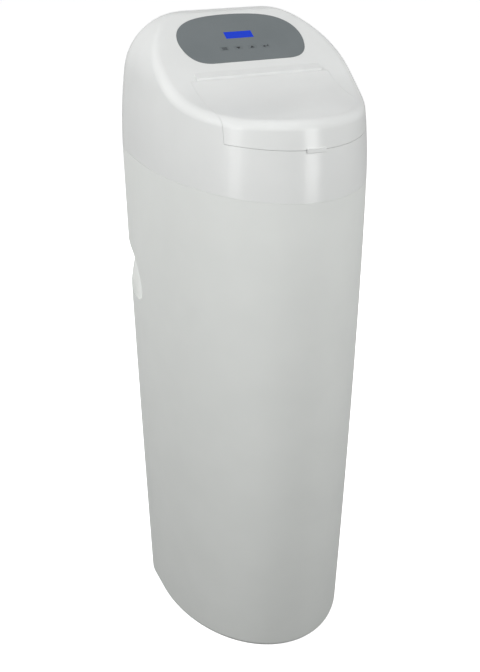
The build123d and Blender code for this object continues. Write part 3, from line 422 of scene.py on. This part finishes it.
def pipe_end(node, x):
    """A port fitting: hub, wrench flats, relief and a cut thread."""
    low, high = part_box(node)
    z = (low[2] + high[2]) / 2
    start, end = low[1], high[1]
    cut = end - THREAD_LENGTH
    length = THREAD_LENGTH - THREAD_STOP
    wave = thread(cut, cut + length)
    levels = levels_from(start, HUB) + [(cut, plain(NECK_RADIUS))]
    levels += [(cut + length * i / THREAD_STEPS, wave) for i in range(THREAD_STEPS + 1)]
    levels += levels_from(end, MOUTH)
    form = bmesh.new()
    turned(form, x, z, levels)
    turned(form, x, z, levels_from(start, FLATS))
    bmesh.ops.recalc_face_normals(form, faces=form.faces)
    obj = made(form, node + "_threaded", NODES[node].data.materials[0])
    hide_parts(node)
    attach(obj, "cabinet")


pipe_end("inlet_adapter", -PORT_X)
pipe_end("outlet_adapter", PORT_X)


# Floor and surroundings

WHITE = (1, 1, 1, 1)
GLOSSY_SHARE = 0.35
FLOOR_SIZE = 30
FLOOR_GLOW = 0.84
FLOOR_DULL = (0.04, 0.045, 0.04, 1)
SKY_COLOUR = (0.97, 0.985, 1.0, 1)
SKY_STRENGTH = 0.16


def white_share(tree):
    """How white a ray finds the surroundings: all for the camera, part of it in
    reflections, none for a ray of diffuse light."""
    path = tree.nodes.new("ShaderNodeLightPath")
    glossy = tree.nodes.new("ShaderNodeMath")
    glossy.operation = "MULTIPLY_ADD"
    glossy.inputs[1].default_value = GLOSSY_SHARE
    tree.links.new(path.outputs["Is Glossy Ray"], glossy.inputs[0])
    tree.links.new(path.outputs["Is Camera Ray"], glossy.inputs[2])
    both = tree.nodes.new("ShaderNodeMath")
    both.operation = "MAXIMUM"
    tree.links.new(glossy.outputs["Value"], both.inputs[0])
    tree.links.new(path.outputs["Is Transmission Ray"], both.inputs[1])
    return both.outputs["Value"]


def mix_by_white_share(tree, dim, bright, output):
    """Sends a mix of two shaders to the output: the bright one by white_share."""
    mix = tree.nodes.new("ShaderNodeMixShader")
    tree.links.new(white_share(tree), mix.inputs["Fac"])
    tree.links.new(dim, mix.inputs[1])
    tree.links.new(bright, mix.inputs[2])
    tree.links.new(mix.outputs["Shader"], tree.nodes[output].inputs["Surface"])


def floor():
    """A plain white floor that shows the shadow and throws back little light."""
    mat, tree, shader = new_material("floor_white")
    tune(
        shader,
        Base_Color=(0.93, 0.93, 0.93, 1),
        Roughness=0.9,
        Specular_IOR_Level=0.1,
        Emission_Color=WHITE,
        Emission_Strength=FLOOR_GLOW,
    )
    dull = add(tree, "ShaderNodeBsdfDiffuse", Color=FLOOR_DULL)
    mix_by_white_share(tree, dull.outputs["BSDF"], shader.outputs["BSDF"], "Material Output")
    form = bmesh.new()
    bmesh.ops.create_grid(form, x_segments=1, y_segments=1, size=FLOOR_SIZE)
    obj = made(form, "floor", mat)


def world():
    """White to the camera and softer in reflections; faint where it lights the object."""
    scene_world = bpy.data.worlds.new("studio")
    bpy.context.scene.world = scene_world
    scene_world.use_nodes = True
    tree = scene_world.node_tree
    soft = tree.nodes["Background"]
    tune(soft, Color=SKY_COLOUR, Strength=SKY_STRENGTH)
    white = add(tree, "ShaderNodeBackground", Color=WHITE, Strength=1.0)
    mix_by_white_share(
        tree, soft.outputs["Background"], white.outputs["Background"], "World Output"
    )


# Lamps: name, place, target, width and height, power, and whether glossy surfaces mirror it

LAMPS = (
    ("key", (-1.1, -1.65, 1.9), (0, -0.05, 0.85), (1.3, 1.0), 3, True),
    ("left", (-2.0, 0.0, 1.8), (0, 0, 0.85), (1.2, 1.4), 33, False),
    ("front", (0.3, -2.2, 1.9), (0, -0.1, 0.85), (1.2, 0.8), 14, False),
    ("fill", (1.6, -1.2, 1.7), (0, 0, 0.80), (1.2, 1.2), 8, False),
    ("right", (2.1, 0.9, 1.6), (0, 0, 0.75), (1.2, 1.3), 16, False),
    ("back", (0.4, 2.3, 1.6), (0, 0, 0.70), (1.4, 1.4), 24, False),
    ("top", (-0.05, 0.2, 2.85), (0, 0, 0.9), (1.3, 1.3), 9, False),
    ("strip_left", (-2.2, -0.45, 0.95), (0, -0.15, 0.95), (0.4, 1.5), 7, True),
    ("strip_right", (0.42, -2.45, 0.95), (0, -0.1, 0.95), (0.95, 1.5), 19, True),
)


def area_light(name, place, target, size, power, mirrored):
    """A rectangular lamp that faces its target."""
    data = bpy.data.lights.new(name, "AREA")
    data.shape = "RECTANGLE"
    data.size, data.size_y = size
    data.energy = power
    lamp = bpy.data.objects.new(name, data)
    bpy.context.scene.collection.objects.link(lamp)
    lamp.location = place
    lamp.visible_glossy = mirrored
    aim = Vector(target) - Vector(place)
    lamp.rotation_mode = "QUATERNION"
    lamp.rotation_quaternion = aim.to_track_quat("-Z", "Y")


# Camera, as solved from the photograph

AZIMUTH, ELEVATION, ROLL = 0.4217, 0.4472, 0.0059
CAMERA_PLACE = (-0.67744, -1.68979, 1.35312)
LENS_MM = 60.0
SENSOR_MM = 36.0
SHIFT_X, SHIFT_Y = -0.0613, 0.0224


def camera():
    """The photograph's viewpoint."""
    forward = Vector((
        math.sin(AZIMUTH) * math.cos(ELEVATION),
        math.cos(AZIMUTH) * math.cos(ELEVATION),
        -math.sin(ELEVATION),
    ))
    flat_right = Vector((math.cos(AZIMUTH), -math.sin(AZIMUTH), 0))
    flat_up = flat_right.cross(forward)
    right = math.cos(ROLL) * flat_right + math.sin(ROLL) * flat_up
    up = -math.sin(ROLL) * flat_right + math.cos(ROLL) * flat_up
    data = bpy.data.cameras.new("camera")
    data.lens = LENS_MM
    data.sensor_width = SENSOR_MM
    data.shift_x = SHIFT_X
    data.shift_y = SHIFT_Y
    obj = bpy.data.objects.new("camera", data)
    bpy.context.scene.collection.objects.link(obj)
    turn = Matrix((right, up, -forward)).transposed()
    obj.matrix_world = Matrix.Translation(CAMERA_PLACE) @ turn.to_4x4()
    bpy.context.scene.camera = obj


floor()
world()
camera()
for lamp_row in LAMPS:
    area_light(*lamp_row)

bpy.context.scene.view_settings.view_transform = "Standard"
